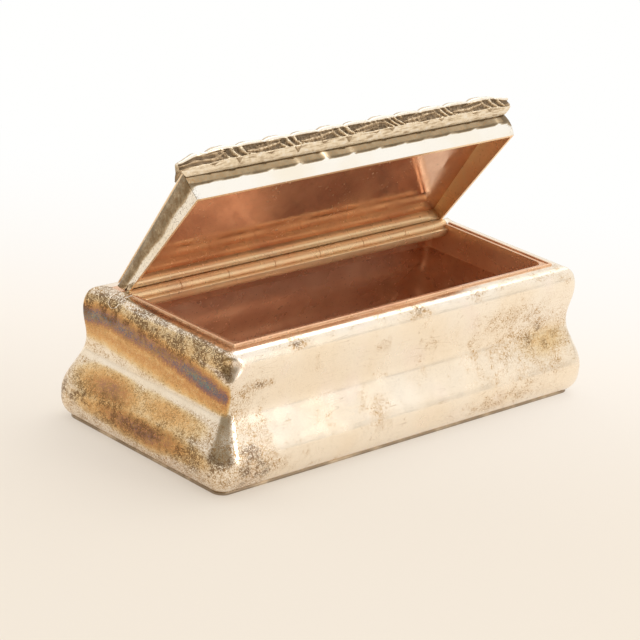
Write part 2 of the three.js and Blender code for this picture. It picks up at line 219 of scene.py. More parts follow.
def make_piece(name, rings, faces, materials, body, nodes, kinds=None, fields=None):
    """A mesh piece from rings of points in millimetres, riding on a body.

    kinds are the faces' materials. fields are numbers kept at each point, which a material
    reads by their name.
    """
    points = [point for ring in rings for point in ring]
    if body == "lid":
        points = [turned_open(point) for point in points]
    mesh = bpy.data.meshes.new(name)
    mesh.from_pydata([Vector(point) * MM for point in points], [], faces)
    for material in materials:
        mesh.materials.append(material)
    if kinds:
        mesh.polygons.foreach_set("material_index", kinds)
    mesh.polygons.foreach_set("use_smooth", [True] * len(mesh.polygons))
    for field, values in (fields or {}).items():
        mesh.attributes.new(field, "FLOAT", "POINT").data.foreach_set("value", values)
    shape = bmesh.new()
    shape.from_mesh(mesh)
    bmesh.ops.recalc_face_normals(shape, faces=shape.faces)
    shape.to_mesh(mesh)
    shape.free()
    piece = bpy.data.objects.new(name, mesh)
    bpy.context.collection.objects.link(piece)
    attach(piece, body)
    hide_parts(*nodes)
    return piece


def sharpen(piece, degrees=40):
    """Keeps edges sharper than an angle crisp under smooth shading."""
    shape = bmesh.new()
    shape.from_mesh(piece.data)
    limit = math.radians(degrees)
    for edge in shape.edges:
        if len(edge.link_faces) == 2 and edge.calc_face_angle(0) > limit:
            edge.smooth = False
    shape.to_mesh(piece.data)
    shape.free()


def arc(centre, radius, start, end, steps):
    """Points along an arc in a plane, angles in degrees."""
    angles = [math.radians(start + (end - start) * i / steps) for i in range(steps + 1)]
    return [(centre[0] + radius * math.cos(a), centre[1] + radius * math.sin(a)) for a in angles]


def bezier(a, b, c, d, steps):
    """Points along a cubic curve, without its first."""
    made = []
    for i in range(1, steps + 1):
        t = i / steps
        s = 1 - t
        shares = (s ** 3, 3 * s * s * t, 3 * s * t * t, t ** 3)
        made.append(tuple(
            sum(share * point[k] for share, point in zip(shares, (a, b, c, d)))
            for k in range(2)))
    return made


def rounded_ring(half_x, half_y, radius, height, steps, extra=0.0):
    """Points of a rounded rectangle, counter-clockwise from the front's left end.

    steps are along X, along Y and round a corner. extra widens the front's left corner.
    """
    corners = []
    for cx, cy, first in ((-1, -1, 180), (1, -1, 270), (1, 1, 0), (-1, 1, 90)):
        bend = radius + (0.0 if corners else extra)
        middle = (cx * (half_x - bend), cy * (half_y - bend))
        turn = arc(middle, bend, first, first + 90, steps[2])
        corners.append([Vector((x, y, height)) for x, y in turn])
    made = []
    for k, corner in enumerate(corners):
        following = corners[(k + 1) % 4]
        count = steps[k % 2]
        made += [corner[-1].lerp(following[0], i / count) for i in range(count)]
        made += following[:-1]
    return made


def skin(rings, closed=False):
    """Quads between neighbouring rings of equal length."""
    count = len(rings[0])
    faces = []
    for r in range(len(rings) if closed else len(rings) - 1):
        a, b = r * count, (r + 1) % len(rings) * count
        for i in range(count):
            j = (i + 1) % count
            faces.append((a + i, a + j, b + j, b + i))
    return faces


def capped(rings):
    """Quads between neighbouring rings, then one face over each end."""
    count = len(rings[0])
    last = (len(rings) - 1) * count
    return skin(rings) + [tuple(reversed(range(count))), tuple(range(last, last + count))]


def carve(piece, *cutters):
    """Takes each cutter's room out of a piece, and removes the cutter."""
    for cutter in cutters:
        cut = piece.modifiers.new("cut", "BOOLEAN")
        cut.operation = "DIFFERENCE"
        cut.solver = "EXACT"
        cut.object = cutter
    graph = bpy.context.evaluated_depsgraph_get()
    cut_mesh = bpy.data.meshes.new_from_object(piece.evaluated_get(graph))
    piece.modifiers.clear()
    old = piece.data
    piece.data = cut_mesh
    bpy.data.meshes.remove(old)
    for cutter in cutters:
        bpy.data.objects.remove(cutter)


def cutter_from(shape):
    """An object made from a shape, used only to cut with."""
    mesh = bpy.data.meshes.new("cutter")
    shape.to_mesh(mesh)
    shape.free()
    cutter = bpy.data.objects.new("cutter", mesh)
    bpy.context.collection.objects.link(cutter)
    return cutter


def cutter_block(low, high):
    """A plain block to cut with."""
    shape = bmesh.new()
    bmesh.ops.create_cube(shape, size=1)
    size = [(b - a) * MM for a, b in zip(low, high)]
    middle = [(b + a) / 2 * MM for a, b in zip(low, high)]
    bmesh.ops.scale(shape, vec=size, verts=shape.verts)
    bmesh.ops.translate(shape, vec=middle, verts=shape.verts)
    return cutter_from(shape)


def cutter_rod(radius):
    """A long rod on the hinge's axis to cut with."""
    shape = bmesh.new()
    bmesh.ops.create_cone(
        shape, cap_ends=True, segments=48, radius1=radius * MM, radius2=radius * MM,
        depth=8 * HALF_X * MM)
    bmesh.ops.transform(shape, matrix=Matrix.Rotation(QUARTER, 4, "Y"), verts=shape.verts)
    bmesh.ops.translate(shape, vec=(0, HINGE_Y * MM, HINGE_Z * MM), verts=shape.verts)
    return cutter_from(shape)


def slot_block(room):
    """Room above the hinge tube, where it is let into the sides."""
    return cutter_block((-FAR, HINGE_Y - room, HINGE_Z), (FAR, HINGE_Y + room, FAR))


def corner_radius(height):
    """Radius of the upright corner at a height."""
    for (low, a), (high, b) in zip(CORNERS, CORNERS[1:]):
        if height <= high:
            return a + (b - a) * smooth(low, high, height)
    return CORNERS[-1][1]


def outer_profile():
    """The side's outer face as (distance out, height), from the foot to the lip."""
    foot, rise, swell, roll = BELLY - BASE_TOP, WAIST - BELLY, SHOULDER - WAIST, TOP - SHOULDER
    curves = [
        (((FOOT_OUT + BELLY_OUT) / 2, BASE_TOP + foot * 0.12), (BELLY_OUT, BELLY - foot * 0.45),
         (BELLY_OUT, BELLY), PROFILE_STEPS),
        ((BELLY_OUT, BELLY + rise * 0.34), (WAIST_OUT, WAIST - rise * 0.34),
         (WAIST_OUT, WAIST), PROFILE_STEPS * 2),
        ((WAIST_OUT, WAIST + swell * 0.4), (SHOULDER_OUT, SHOULDER - swell * 0.4),
         (SHOULDER_OUT, SHOULDER), PROFILE_STEPS),
        ((SHOULDER_OUT, SHOULDER + roll * 0.62), ((SHOULDER_OUT + RIM_OUT) / 2 + ROLL_SWELL, TOP),
         (RIM_OUT - ROLL_END, TOP), PROFILE_STEPS + 6),
    ]
    path = [(FOOT_OUT, BASE_TOP)]
    for leave, arrive, end, steps in curves:
        path += bezier(path[-1], leave, arrive, end, steps)
    return path


def side_out(height):
    """How far out the side stands at a height."""
    path = outer_profile()
    for (a, low), (b, high) in zip(path, path[1:]):
        if low <= height <= high and high > low:
            return a + (b - a) * (height - low) / (high - low)
    return RIM_OUT


def shell_profile():
    """Outside and inside of the sides' sheet, as rows of (out, height, corner radius)."""
    outer = outer_profile()
    outside = [(out, height, corner_radius(height)) for out, height in outer]
    outside.append((LIP + LIP_LAP, TOP, TIGHTEST))
    inside = [(LIP + LIP_LAP, TOP - WALL, TIGHTEST)]
    for i in reversed(range(len(outer))):
        before, after = outer[max(i - 1, 0)], outer[min(i + 1, len(outer) - 1)]
        along = Vector((after[0] - before[0], after[1] - before[1])).normalized()
        out = outer[i][0] - along[1] * WALL
        height = outer[i][1] + along[0] * WALL
        if height < TOP - WALL and out > LIP:
            inside.append((out, max(height, BASE_TOP), corner_radius(outer[i][1])))
    return outside, inside


def crease(point):
    """Depth of the faint lines that the sheet's bends leave along a side."""
    depth = 0.0
    for height in CREASES:
        drift = 0.35 * noise.noise(Vector((point.x * 0.05, point.y * 0.05, height)))
        fade = 0.6 + 0.4 * noise.noise(Vector((point.x * 0.09, height, point.y * 0.09)))
        depth += CREASE_DEPTH * fade * hump(point.z, height + drift, CREASE_REACH)
    return depth


def raised(point):
    """A point of the outside, moved in by the soft dents and creases of raised sheet."""
    x, y = point.x / (HALF_X + 6), point.y / (HALF_Y + 6)
    outwards = Vector((math.copysign(x ** 6, x), math.copysign(y ** 6, y), 0)).normalized()
    scale = 0.16
    wave = noise.noise(point * scale)
    wave += 0.5 * noise.noise(point * scale * 2.3 + Vector((9, 4, 2)))
    point = point - outwards * clamp(DENT * (0.5 + 0.33 * wave), 0, DENT)
    return point - outwards * crease(point)


def body_shell(silver, gilt):
    """The four ogee sides as one raised shell: silver outside, gilt inside."""
    outside, inside = shell_profile()
    rings = []
    for out, height, radius in outside + inside:
        swell = BEAD_SWELL * hump(height, BEAD, BEAD_REACH)
        rings.append(
            rounded_ring(HALF_X + out, HALF_Y + out, radius, height, SHELL_STEPS, swell))
    count = len(rings[0])
    seen = [point for ring in rings[:len(outside)] for point in ring]
    hidden = [0.0] * (count * len(inside))
    fields = {
        "stroke_density": [stroke_density(point) for point in seen] + hidden,
        "film": [film(point) for point in seen] + hidden,
    }
    bands = len(outside) - 1
    rings[:bands] = [[raised(point) for point in ring] for ring in rings[:bands]]
    kinds = [0] * (bands * count) + [1] * ((len(rings) - bands) * count)
    piece = make_piece(
        "body_shell", rings, skin(rings, closed=True), [silver, gilt], "box",
        ["body_front_wall", "body_back_wall", "body_left_wall", "body_right_wall"],
        kinds, fields)
    carve(piece, cutter_rod(TUBE + TUBE_FIT), slot_block(TUBE + TUBE_FIT))
    sharpen(piece)


def blotch(point, scale, seed):
    """Soft uneven field from 0 to 1."""
    value = 0.5 + 0.5 * noise.noise(point * scale + Vector((seed, seed * 2, seed * 3)))
    return clamp(value + 0.3 * noise.noise(point * scale * 3))


def left_end(point):
    """1 on the left end, 0 on the other sides, with a short blend at its corners."""
    beyond = (-point.x - HALF_X) - (abs(point.y) - HALF_Y)
    return smooth(-0.7, 0.5, beyond) if point.x < 0 else 0.0


def front_side(point):
    """1 on the front, 0 on the other sides, with a short blend just round its corners."""
    beyond = (-point.y - HALF_Y) - (abs(point.x) - HALF_X)
    return smooth(-2.0, 0.0, beyond) if point.y < 0 else 0.0


def stroke_density(point):
    """How thickly dark tarnish strokes lie at a place on the outside, from 0 to 1."""
    x, _, z = point
    uneven = blotch(point, 0.16, 4)
    rough = blotch(point, 0.6, 9)
    if left_end(point) > 0.5:
        bands = sum(strength * hump(z, height, reach) for strength, height, reach in END_BANDS)
        return clamp((0.46 + bands) * (0.8 + 0.35 * rough))
    elsewhere = 0.16 + 0.4 * smooth(0.5, 0.8, uneven) * rough
    if x > HALF_X:
        elsewhere = 0.12 + 0.55 * hump(z, 11, 6) * (0.4 + 0.9 * rough)
    share = front_side(point)
    return clamp(front_stain(x, z, uneven, rough) * share + elsewhere * (1 - share))


def front_stain(x, z, uneven, rough):
    """How thickly the strokes lie on the front, with its patches and marks."""
    dense = 0.1 + sum(mark((x, z), *row) for row in FRONT_MARKS)
    dense += sum(mark((x, z), *row) * smooth(*ends, rough) for row, ends in FRONT_PATCHES)
    dense += 0.3 * smooth(0.55, 0.8, uneven) * rough
    dense += 0.22 * smooth(22.2, 22.9, z) * smooth(0.3, 0.7, rough)
    return dense * (0.6 + 0.65 * rough)


def film(point):
    """Thickness of the coloured tarnish film at a place on the outside, from 0 to 1."""
    gold = sum(mark((point.x, point.z), *row) for row in FRONT_GOLD)
    plain = 0.05 * blotch(point, 0.1, 2) + gold * front_side(point)
    here = left_end(point)
    return plain + (end_film(point) - plain) * here if here else plain


def end_film(point):
    """Thickness of the film on the left end: bands across it, thin along a line at its waist."""
    _, y, z = point
    high = z + 0.7 * noise.noise(Vector((y * 0.14, z * 0.1, 5)))
    bow = 19.2 - 0.0035 * (12 - y) ** 2
    strong = min(0.8 + 0.3 * hump(y, -11.5, 4) + 0.3 * hump(y, 17, 3.5) + 0.1 * hump(y, 9, 6), 1)
    low = 0.6 + 0.24 * blotch(point, 0.35, 6)
    value = max(
        strong * hump(high, bow, 1.9 + 0.5 * blotch(point, 0.3, 3)),
        0.44 * hump(high, 15.6 + 0.075 * y, 2.1),
        0.2 * smooth(19.6, 20.6, high) * (1 - smooth(22.4, 23.4, high)),
        mark((y, high), 0.64, (8.0, 8.8), (8, 2.8)),
        mark((y, high), 0.4, (-6, 9.6), (10, 2.6)),
        mark((y, high), low, (-1, 5.4), (14, 2.2)))
    value *= 1 - 0.85 * hump(z, 12.35, 0.5)
    value *= 1 - mark((y, z), 0.8, (-11, 12.1), (8, 0.9))
    return clamp(value, 0.1)


def bezel_ring(gilt):
    """Gilt bezel: an upright strip, the ledge for the lid's rim, and the lip round it."""
    edge = BEZEL_EDGE
    section = [
        (-LEDGE, BEZEL_FOOT), (BEZEL_SHEET - LEDGE, BEZEL_FOOT),
        (BEZEL_SHEET - LEDGE, LEDGE_TOP - BEZEL_SHEET), (LIP, LEDGE_TOP - BEZEL_SHEET),
        (LIP, LIP_TOP - edge * 1.5), (LIP - edge * 0.6, LIP_TOP - edge * 0.4),
        (LIP - edge * 1.5, LIP_TOP), (edge * 1.2, LIP_TOP),
        (edge * 0.35, LIP_TOP - edge * 0.35), (0, LIP_TOP - edge * 1.2),
        (0, LEDGE_TOP + 0.02), (-0.02, LEDGE_TOP),
        (-LEDGE + edge, LEDGE_TOP), (-LEDGE + edge * 0.3, LEDGE_TOP - edge * 0.3),
        (-LEDGE, LEDGE_TOP - edge),
    ]
    rings = []
    for out, height in section:
        radius = TIGHTEST + (BEZEL_CORNER - TIGHTEST) * max(-out, 0) / LEDGE
        rings.append(rounded_ring(HALF_X + out, HALF_Y + out, radius, height, BEZEL_STEPS))
    piece = make_piece(
        "bezel_ring", rings, skin(rings, closed=True), [gilt], "box",
        ["bezel_front", "bezel_back", "bezel_left", "bezel_right"])
    behind = cutter_block((-FAR, HINGE_Y - ROOM, TOP), (FAR, FAR, FAR))
    carve(piece, cutter_rod(ROOM), slot_block(ROOM), behind)
    sharpen(piece)


def base_plate(silver, gilt, edge):
    """The base: gilt where it shows inside, silver outside, its edge just proud of the side.

    Each stop is (out, height, material of the band that follows it).
    """
    reach = FOOT_OUT + BASE_LIP
    bend, part = BASE_EDGE, BASE_EDGE * 0.3
    stops = [
        (-BASE_INSET, 0, 0), (-0.4, 0, 0), (-bend, 0, 2), (-part, part, 2), (0, bend, 2),
        (0, BASE_TOP - bend, 2), (-part, BASE_TOP - part, 2), (-bend, BASE_TOP, 0),
        (-FOOT_OUT * 0.4, BASE_TOP, 1), (-BASE_INSET, BASE_TOP, 1),
    ]
    rings = []
    for out, height, _ in stops:
        radius = max(BASE_CORNER + out, TIGHTEST)
        half_x, half_y = HALF_X + reach + out, HALF_Y + reach + out
        rings.append(rounded_ring(half_x, half_y, radius, height, BASE_STEPS))
    kinds = [kind for _, _, kind in stops[:-1] for _ in rings[0]] + [0, 1]
    make_piece(
        "base", rings, capped(rings), [silver, gilt, edge], "box", ["base_plate"],
        kinds)


def extruded(name, section, half_x, material, body, node, steps=40):
    """A gilt piece from a section of (y, z) points run along X, capped at both ends."""
    rings = []
    for i in range(steps + 1):
        x = -half_x + 2 * half_x * i / steps
        rings.append([Vector((x, y, z)) for y, z in section])
    make_piece(name, rings, capped(rings), [material], body, [node])


def hinge_bearer(gilt):
    """Trough that the hinge tube lies in, with the flat strip behind it."""
    outer = ROOM + TROUGH
    back = HALF_Y - LEDGE - 0.06
    section = arc(AXIS, ROOM, 27.5, -180, 30) + arc(AXIS, outer, 180, 270, 20)
    section += [(back, HINGE_Z - outer / 2), (back, TOP - 0.1), (back - 0.1, TOP)]
    extruded("hinge_trough", section, HALF_X - LEDGE - 0.08, gilt, "box", "hinge_bearer")


def circle(radius, sides):
    """Points (y, z) of a circle round the hinge's axis."""
    return arc(AXIS, radius, 0, 360, sides)[:-1]


def tube(start, end):
    """Rings of one knuckle: its bore, its ends with softened edges, and its outside."""
    edge, part = KNUCKLE_EDGE, KNUCKLE_EDGE * 0.3
    stops = [
        (BORE, start), (TUBE - edge, start), (TUBE - part, start + part), (TUBE, start + edge),
        (TUBE, end - edge), (TUBE - part, end - part), (TUBE - edge, end), (BORE, end),
    ]
    return [[Vector((x, y, z)) for y, z in circle(r, TUBE_SIDES)] for r, x in stops]


def knuckles(gilt):
    """The seven knuckles of the tube, box and lid by turns."""
    pitch = 2 * HALF_X / KNUCKLES
    for i in range(KNUCKLES):
        start = -HALF_X + i * pitch + KNUCKLE_GAP / 2
        rings = tube(start, start + pitch - KNUCKLE_GAP)
        piece = make_piece(
            f"knuckle_{i + 1}", rings, skin(rings, closed=True), [gilt],
            "lid" if i % 2 else "box", [f"hinge_knuckle_{i + 1}"])
        sharpen(piece, 18)


def plug_face(z, proud):
    """X of a plug's outer face, proud of the side there and filed down over the roll."""
    return HALF_X + side_out(min(z, TOP - 0.02)) - 0.4 * max(z - TOP + 0.3, 0) + proud


def plugs(silver):
    """Plugs at both ends of the hinge, filed down nearly flush with the sides."""
    face = [(TUBE, -0.12), (TUBE - 0.06, -0.03), (TUBE - 0.16, 0.02), (TUBE / 2, 0.06),
            (PLUG_CORE, 0.08)]
    for side, name in ((-1, "left"), (1, "right")):
        rings = [[Vector((side * HALF_X, y, z)) for y, z in circle(radius, PLUG_SIDES)]
                 for radius in (PLUG_CORE, TUBE)]
        rings += [[Vector((side * plug_face(z, proud), y, z))
                   for y, z in circle(radius, PLUG_SIDES)] for radius, proud in face]
        points = [point for ring in rings for point in ring]
        piece = make_piece(
            f"plug_{name}", rings, capped(rings), [silver], "box",
            [f"hinge_plug_{name}"],
            fields={"stroke_density": [stroke_density(p) for p in points], "film": [film(p) for p in points]})
        sharpen(piece, 50)


def lid_top(y):
    """Height of the lid's top at a place from front to back."""
    return LID_RIM + LID_FRONT_HEIGHT - (y - LID_Y) * LID_SLOPE


def lid_foot(y):
    """Height of the lid's lower edge: its flat rim, then the rounded heel."""
    into = max(y - HEEL_Y, 0)
    return LID_RIM + HEEL - math.sqrt(max(HEEL * HEEL - into * into, 0))


def lid_bulge(share):
    """How far the lid's walls stand out, share of the way up them."""
    return 4 * LID_BULGE * share * (1 - share)


def lid_stations():
    """Places round the lid's walls, from the left heel by the front to the right heel.

    Each is (kind, side, place): Y on an end, X on the front, the angle on a corner's turn.
    """
    ends = [HEEL_Y + HEEL * math.cos(QUARTER * i / LID_HEEL_STEPS) for i in range(LID_HEEL_STEPS)]
    ends += [HEEL_Y + (LID_Y - HEEL_Y) * i / LID_END_STEPS for i in range(LID_END_STEPS)]
    turns = [QUARTER * i / LID_TURN_STEPS for i in range(LID_TURN_STEPS + 1)]
    left, right = (
        [("end", side, y) for y in ends] + [("turn", side, angle) for angle in turns]
        for side in (-1, 1))
    front = [("front", 0, LID_X * (2 * i / LID_FRONT_STEPS - 1)) for i in range(1, LID_FRONT_STEPS)]
    return left + front + right[::-1]


def lid_wall_point(station, out, share):
    """A point of the lid's walls, out from their foot and share of the way up them."""
    kind, side, place = station
    end = LID_X + out + LID_END_LEAN * share
    front = LID_Y - out - LID_FRONT_LEAN * share
    if kind == "end":
        x, y = side * end, place
    elif kind == "front":
        x, y = place, front
    else:
        x = side * (end - LID_TURN + LID_TURN * math.cos(place))
        y = front + LID_TURN - LID_TURN * math.sin(place)
    foot = lid_foot(y)
    return Vector((x, y, foot + (lid_top(y) - LID_SHEET * 0.98 - foot) * share))


def lid_walls(silver, gilt):
    """Front and end walls of the lid in one bent strip, convex outside, gilt inside."""
    shares = [i / LID_RISES for i in range(LID_RISES + 1)]
    section = [(0.02, 0.0)] + [(lid_bulge(share), share) for share in shares[1:]]
    section += [(lid_bulge(share) - LID_SHEET, share) for share in reversed(shares)]
    rings, strokes_and_reflection, film_and_reflection = [], [], []
    for station in lid_stations():
        ring = []
        for out, share in section:
            point = lid_wall_point(station, out, share)
            # On the front these values paint the border's reflection; on the ends they are tarnish.
            dark, tint = lid_tarnish_and_reflection(station[0], point, share)
            ring.append(point)
            strokes_and_reflection.append(dark)
            film_and_reflection.append(tint)
        rings.append(ring)
    band = [0] * LID_RISES + [1] * (len(section) - LID_RISES)
    piece = make_piece(
        "lid_walls", rings, capped(rings), [silver, gilt], "lid",
        ["lid_front_wall", "lid_left_wall", "lid_right_wall"],
        band * (len(rings) - 1) + [1, 1], {"stroke_density": strokes_and_reflection, "film": film_and_reflection})
    sharpen(piece)


def lid_tarnish_and_reflection(kind, point, share):
    """Tarnish on the lid's ends, and on its front a painted reflection of the border: stroke density
    and film. share runs from rim to top.
    """
    if kind == "front":
        # Painted reflection of the border on the front wall: a dark band below it, its edge waved
        # like the rim and broken into bars.
        wave = abs(math.sin(math.pi * (point.x + BORDER_SHIFT) / (BORDER_PERIOD / 2)))
        edge = 0.54 - 0.07 * wave ** 0.5
        under = smooth(edge - 0.03, edge + 0.03, share)
        bars = 1 - 0.7 * (1 - smooth(0.03, 0.13, wave))
        return 0.6 * under * bars, 0.46 * under * bars
    outer = smooth(0.24, 0.46, share + 0.1 * noise.noise(point * 0.35))
    return 0.3 + 0.65 * outer, 0.08 + 0.24 * outer


def lid_plate(silver, gilt):
    """The lid's top: a plate with a thin rounded edge raised round it, gilt underneath."""
    front = LID_Y - LID_FRONT_LEAN
    half_x, half_y = LID_X + LID_END_LEAN, (LID_REAR - front) / 2
    middle = front + half_y
    edge = arc((LID_EDGE, LID_EDGE), LID_EDGE, -90, -180, 5)
    rings = []
    for shrink, drop in [(0.02, LID_SHEET)] + edge:
        corner = max(LID_CORNER - shrink, 0.05)
        ring = rounded_ring(half_x - shrink, half_y - shrink, corner, 0, PLATE_STEPS)
        rings.append([Vector((x, y + middle, lid_top(y + middle) - drop)) for x, y, _ in ring])
    faces = capped(rings)
    kinds = [0] * (len(faces) - 2) + [1, 0]
    piece = make_piece(
        "lid_top", rings, faces, [silver, gilt], "lid", ["lid_plate"], kinds)
    sharpen(piece)


def lid_rear(gilt):
    """The lid's rear wall, hollowed below for the tube and rounded behind."""
    front = HINGE_Y - REAR_INSET
    start = math.degrees(math.acos(-REAR_INSET / ROOM))
    section = [(front, lid_top(front) - LID_SHEET)]
    section += arc(AXIS, ROOM, start, 90, 8)
    section += arc((HEEL_Y, LID_RIM + HEEL), HEEL, -42.5, 0, 8)
    section.append((LID_REAR, lid_top(LID_REAR) - LID_SHEET))
    extruded("lid_rear", section, LID_X - LID_SHEET, gilt, "lid", "lid_rear_wall")


def scallop(x):
    """The rim's waves: 1 at a crest, 0 in a notch, two uneven crests to each repeat."""
    place = (x + BORDER_SHIFT) / (BORDER_PERIOD / 2)
    crest = math.sin(math.pi * (place % 1) ** 0.75) ** 0.8
    return crest * (1.0 if int(place // 1) % 2 else 0.8)


def rim_bump(x):
    """How far the rim rises or sinks with its waves."""
    return 0.3 * scallop(x) - 0.14


def border_reach(x):
    """How far the border's underside stands forward of the lid's wall, in millimetres."""
    edge = abs(x) / LID_X
    wave = rim_bump(x) + 0.07 * math.sin(2 * math.pi * x / BORDER_PERIOD + 1.9)
    fall = 0.7 * smooth(0.74, 1.0, edge) if x < 0 else 0.2 * smooth(0.93, 1.0, edge)
    return BORDER_UNDER + 0.6 * wave - fall


def long_leaf(u, t, vary, drift):
    """How far the long veined leaf stands over the ground. u runs along it from -1 to 1."""
    spine = 0.5 + 0.26 * math.sin(u * 1.9 + vary * 1.4)
    v = (t - spine) / (0.44 * math.sqrt(1 - u * u) + 0.05)
    vein = 0.5 + 0.5 * math.cos(v * 6.5 + u * 3.0 + drift * 2)
    return (1 - smooth(0.7, 1.1, abs(v))) * (0.1 + 0.24 * vein - 0.06 * v * v)


def leaf_fan(u, t, vary):
    """Height of the fan of slanting leaves. u runs across it from -1 to 1."""
    bend = (t - 0.5) * (1.1 + vary) + 0.28 * math.sin(t * 3)
    ribs = 0.5 + 0.5 * math.cos((u * (1.7 + 0.5 * vary) + bend) * math.pi * 1.8)
    return -0.32 + (1 - u * u) ** 0.3 * 0.5 * ribs ** 1.6


def carving(x, t):
    """Height of the carved face at a place along the lid, from its lower edge (0) to the rim (1).

    Each repeat has one long leaf and one fan beside it. The left end has plain streaks.
    """
    vary = noise.noise(Vector((math.floor(x / BORDER_PERIOD) * 3.7, 1.3, 0.4)))
    drift = noise.noise(Vector((x * 0.22, 2, 3)))
    place = (x / BORDER_PERIOD + 0.04 * drift) % 1
    leaf, fan = (place - 0.33) / 0.34, (place - 0.82) / 0.21
    height = BORDER_GROUND
    if abs(leaf) < 1:
        height += long_leaf(leaf, t, vary, drift)
    if abs(fan) < 1:
        height = max(height, leaf_fan(fan, t, vary))
    height += 0.14 * noise.noise(Vector((x * 1.6, t * 2.4, 7)))
    height += 0.14 * noise.noise(Vector((x * 4.1, t * 5.0, 9)))
    streaks = 0.12 * math.sin(t * 13 + x * 0.7) + 0.05 * math.sin(x * 3 + t * 6)
    share = smooth(0.76, 0.86, -x / LID_X)
    return height * (1 - share) + (streaks - 0.16) * share


def leaf_tip(x, s):
    """How far a fan's pointed tip hangs over the underside; s runs from its edge (0) inwards."""
    place = (x / BORDER_PERIOD) % 1
    vary = noise.noise(Vector((math.floor(x / BORDER_PERIOD) * 2.3, 4.1, 0.7)))
    total = 0.0
    for centre, half, length in ((0.8 + 0.2 * vary, 0.08, 0.4 + 0.3 * vary), (0.42, 0.1, 0.22)):
        wide = half * (1 - s / length)
        if wide > 0 and abs(place - centre) < wide:
            total = max(total, smooth(0, 0.4, 1 - abs(place - centre) / wide))
    return total


def crown_leaves(x, t):
    """Leaves lying on the border's top, from behind the rim (0) back to its heel (1)."""
    place = (x / BORDER_PERIOD) % 1
    crest = scallop(x + 0.5)
    swell = (0.25 + BORDER_CROWN * crest) * hump(t, 0.2, 0.2)
    lie = 0.2 * crest * math.sin(math.pi * t)
    veins = 0.12 * math.cos((place * 12 + t * (place - 0.5) * 8) * math.pi) * math.sin(math.pi * t)
    return swell + lie + veins


def border_start():
    """How far the lid's wall stands forward where the border's underside meets it."""
    share = (LID_FRONT_HEIGHT - BORDER_DROP) / (LID_FRONT_HEIGHT - LID_SHEET)
    return lid_bulge(share) + LID_FRONT_LEAN * share + 0.03


def under_row(x, t, start, reach):
    """The soft underside, from the lid's wall (0) out to its edge (1), with leaf tips on it."""
    tip = leaf_tip(x, 1 - t)
    streak = noise.noise(Vector((x * 0.45, (1 - t) * 11, 1)))
    lift = BORDER_RISE * (1 - math.cos(t * QUARTER))
    # Painted shade, darkest round each leaf tip's outline, with the underside's own dark streaks.
    shade_and_streaks = 0.17 + 0.5 * max(streak, 0) + 0.3 * tip + 1.2 * tip * (1 - tip)
    return start + reach * t + 0.12 * tip, lift - 0.14 * tip, t, shade_and_streaks, 1 - tip


def face_row(x, t, lip):
    """The carved face, from its lower edge (0) to the rim (1)."""
    fade = 1 - smooth(0.92, 1.0, t)
    out = carving(x, t) * smooth(0, 0.08, t) * fade
    # Painted shade: darker where the carving lies low and towards the rim, lighter along the face's
    # lower edge, and none just below the rim, a painted highlight.
    shade_and_streaks = clamp(0.78 - (out + 0.3) * 1.5 + 0.16 * t, 0.2, 0.84)
    shade_and_streaks *= (0.45 + 0.55 * smooth(0, 0.1, t)) * fade
    height = BORDER_RISE + BORDER_FACE * t - 0.3 * out
    return lip - BORDER_SLANT * (1 - t) + out, height, 1.0, shade_and_streaks, 0.0


def crown_row(x, t, lip, bump):
    """The border's top, from behind the rim (0) back to its heel (1)."""
    groove = 0.16 * hump(t, 0.03, 0.025)
    slope = (RIM_FOOT + BORDER_RIM + bump * (1 - t)) * (1 - t) + BORDER_HEEL * t
    crest = crown_leaves(x, t)
    forward = (lip - 0.12) * (1 - t) - 0.95 * BORDER_LAP * t
    # Painted shade: dark in the groove behind the rim and where the leaves lie low, light on their
    # crests.
    shade_and_streaks = clamp(0.62 - 0.9 * crest, 0.12, 0.6) + 0.5 * groove
    return forward, slope + crest - groove, (1 - t) ** 0.7, shade_and_streaks, 0.0


def border_section(x):
    """Rows of (forward, height, outward, painted shade with the underside's streaks, satin) round the
    border, at a place along it.
    """
    start, reach, bump = border_start(), border_reach(x), rim_bump(x)
    lip = start + reach + BORDER_SLANT
    rows = [under_row(x, k / UNDER_STEPS, start, reach) for k in range(UNDER_STEPS)]
    rows += [face_row(x, k / FACE_STEPS, lip) for k in range(FACE_STEPS + 1)]
    # The rim gets no painted shade, so it shows brightest: a painted highlight.
    rows += [(lip + out, RIM_FOOT + rise + bump, 1.0, 0.0, 0.0) for out, rise in RIM_SECTION]
    rows += [crown_row(x, k / CROWN_STEPS, lip, bump) for k in range(1, CROWN_STEPS + 1)]
    thin = 1 - 0.3 * smooth(0.9, 1.0, abs(x) / LID_X)
    rows = [(forward, height * thin, *others) for forward, height, *others in rows]
    return rows + [
        (-BORDER_LAP, BORDER_HEEL - 0.2, 0, 0.4, 0.0), (-BORDER_LAP, BORDER_BACK, 0, 0.4, 0.0),
        (-0.02, BORDER_TOP, 0, 0.3, 0.0), (start, BORDER_TOP, 0, 0.3, 0.0)]


def thumb_border(cast):
    """Cast border along the lid's front edge: leaves under and over a wavy rim."""
    rings, shades_and_streaks, satins = [], [], []
    for i in range(BORDER_STEPS + 1):
        x = LID_X * (2 * i / BORDER_STEPS - 1)
        flare = (1.3 if x > 0 else 1.1) * (abs(x) / LID_X) ** 10
        ring = []
        for forward, height, outward, shade_and_streaks, satin in border_section(x):
            side = x + math.copysign(flare * outward, x)
            ring.append(Vector((side, LID_Y - forward, BORDER_FOOT + height)))
            shades_and_streaks.append(shade_and_streaks)
            satins.append(satin)
        rings.append(ring)
    # Each point keeps its painted shade, with the underside's streaks, for the cast metal's colour.
    piece = make_piece(
        "border", rings, capped(rings), [cast], "lid", ["thumb_border"],
        fields={"shade_and_streaks": shades_and_streaks, "satin": satins})
    sharpen(piece, 70)


